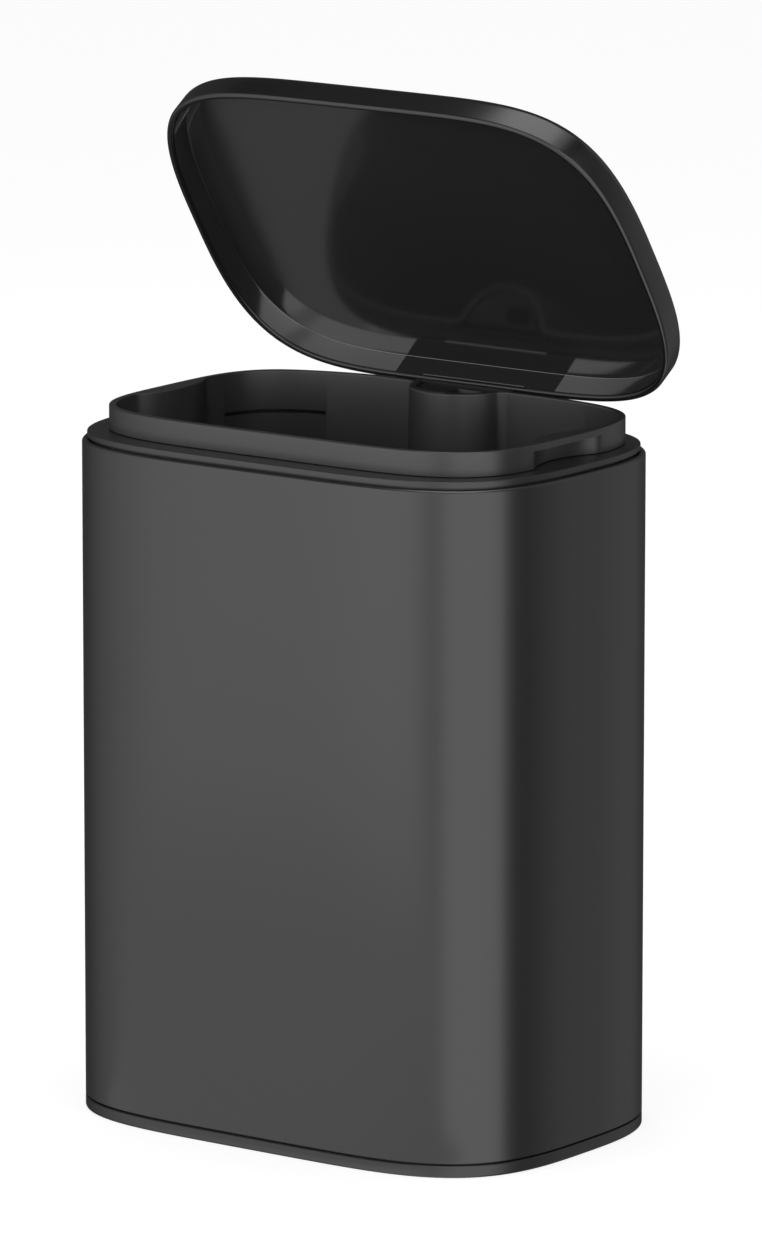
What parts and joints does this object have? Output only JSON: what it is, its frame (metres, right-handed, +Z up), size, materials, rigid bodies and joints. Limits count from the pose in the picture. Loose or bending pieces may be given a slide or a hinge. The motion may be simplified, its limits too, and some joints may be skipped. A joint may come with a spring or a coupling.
{
  "type": "wall-mounted waste bin",
  "caption": "Wall-hung waste bin: rounded coated metal sleeve, inner bucket with a raised collar, and a dished lid standing open on a rear hinge.",
  "frame": {"origin": "centre of the wall plate's back face, which lies against the wall", "axes": "+Y into the wall, so the bin's front is towards -Y; +Z up; +X to the right as seen from the front"},
  "size_m": [0.1816, 0.1398, 0.3417],
  "materials": {
    "coated_sheet": "satin",
    "lid_sheet": "satin",
    "black_plastic": "satin",
    "gloss_plastic": "gloss",
    "dark_hardware": "satin",
    "zinc_steel": "satin",
    "bush_plastic": "matt"
  },
  "bodies": {
    "wall_mount": {"wall_plate": "dark_hardware"},
    "bin": {"body_sleeve": "coated_sheet", "base_moulding": "black_plastic", "top_ring": "black_plastic", "inner_bucket": "black_plastic", "hinge_pillar": "black_plastic", "hinge_base": "dark_hardware", "hanger_block": "black_plastic", "hanger_screw_1": "zinc_steel", "hanger_screw_2": "zinc_steel", "hanger_screw_3": "zinc_steel", "hanger_screw_4": "zinc_steel", "hinge_screw_1": "zinc_steel", "hinge_screw_2": "zinc_steel", "hinge_pin": "zinc_steel", "pin_clip_left": "zinc_steel", "pin_clip_right": "zinc_steel"},
    "lid": {"lid_shell": "lid_sheet", "lid_liner": "gloss_plastic", "hinge_leaf": "dark_hardware", "hinge_bush_left": "bush_plastic", "hinge_bush_right": "bush_plastic"}
  },
  "joints": [
    {"name": "bin_lift", "type": "slide", "parent": "wall_mount", "child": "bin", "axis": [0, 0, 1], "range_m": [0, 0.044]},
    {"name": "lid_hinge", "type": "hinge", "parent": "bin", "child": "lid", "pos_m": [0, -0.0112, 0.0727], "axis": [1, 0, 0], "range_deg": [0, 56.3]}
  ]
}
